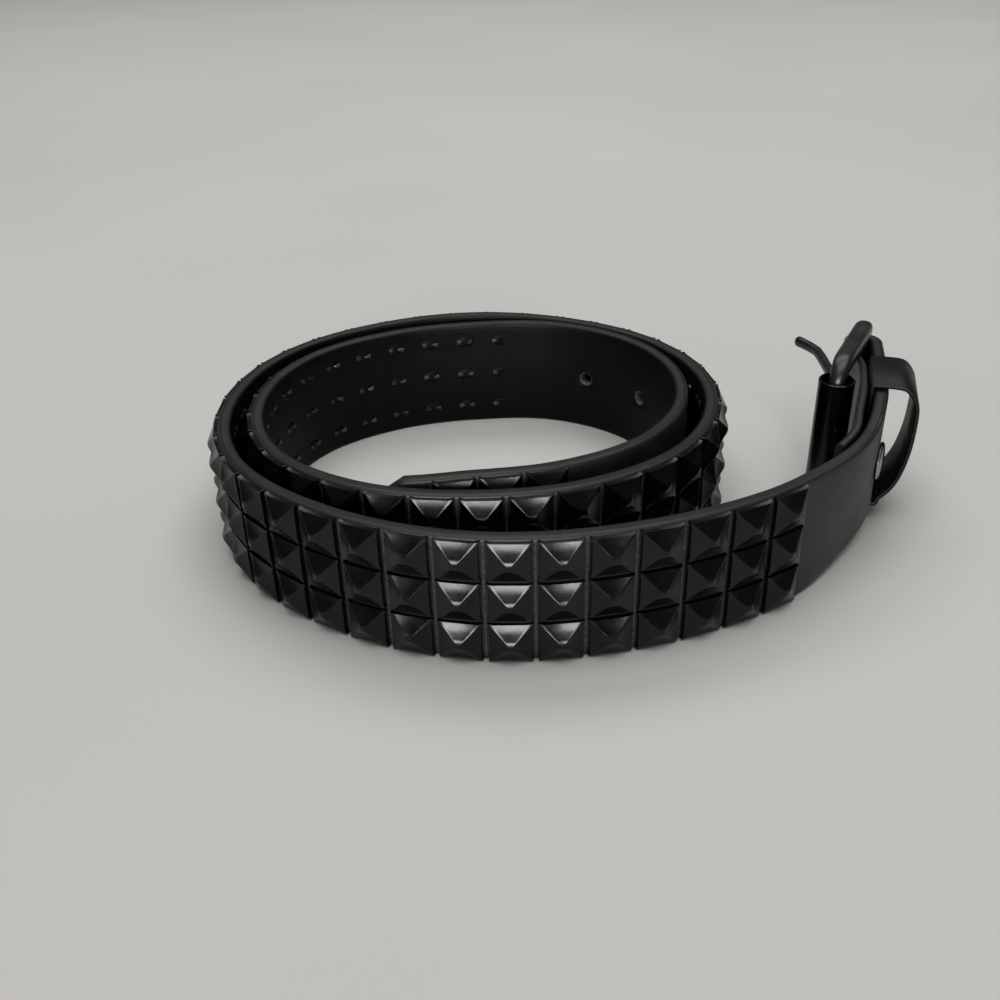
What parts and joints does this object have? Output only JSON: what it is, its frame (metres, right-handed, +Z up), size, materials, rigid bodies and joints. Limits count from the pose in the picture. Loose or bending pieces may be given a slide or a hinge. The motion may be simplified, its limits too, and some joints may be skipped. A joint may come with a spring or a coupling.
{
  "type": "studded belt",
  "caption": "Black leather belt with rows of pyramid studs, loosely coiled on its edge, with a roller buckle folded back, a keeper loop and a snap.",
  "frame": {"origin": "middle of the footprint of the coiled belt with its buckle, on the surface that it stands on", "axes": "+Z up across the strap's width, +X along the longest extent towards the buckle's side, +Y away from the viewer of the picture"},
  "size_m": [0.2204, 0.1634, 0.0499],
  "materials": {
    "strap_leather": "satin black, smooth grain",
    "stud_lacquer": "glossy black lacquer",
    "buckle_metal": "satin black, worn grey on the upper faces",
    "snap_metal": "bright"
  },
  "bodies": {
    "belt": {"strap": "strap_leather", "studs_main": "stud_lacquer", "studs_tip": "stud_lacquer", "keeper": "strap_leather", "snap_cap": "snap_metal", "snap_socket": "snap_metal"},
    "frame": {"buckle_frame": "buckle_metal"},
    "roller": {"roller": "buckle_metal"},
    "tongue": {"tongue": "buckle_metal"}
  },
  "joints": [
    {"name": "frame_swing", "type": "hinge", "parent": "belt", "child": "frame", "pos_m": [0.09855, 0.02703, 0.02495], "axis": [0, 0, 1], "range_deg": [-140, 0]},
    {"name": "tongue_swing", "type": "hinge", "parent": "frame", "child": "tongue", "pos_m": [0.09855, 0.02703, 0.02495], "axis": [0, 0, 1], "range_deg": [0, 115]},
    {"name": "roller_spin", "type": "hinge", "parent": "frame", "child": "roller", "pos_m": [0.08207, -0.00317, 0.02495], "axis": [0, 0, 1], "continuous": true}
  ]
}
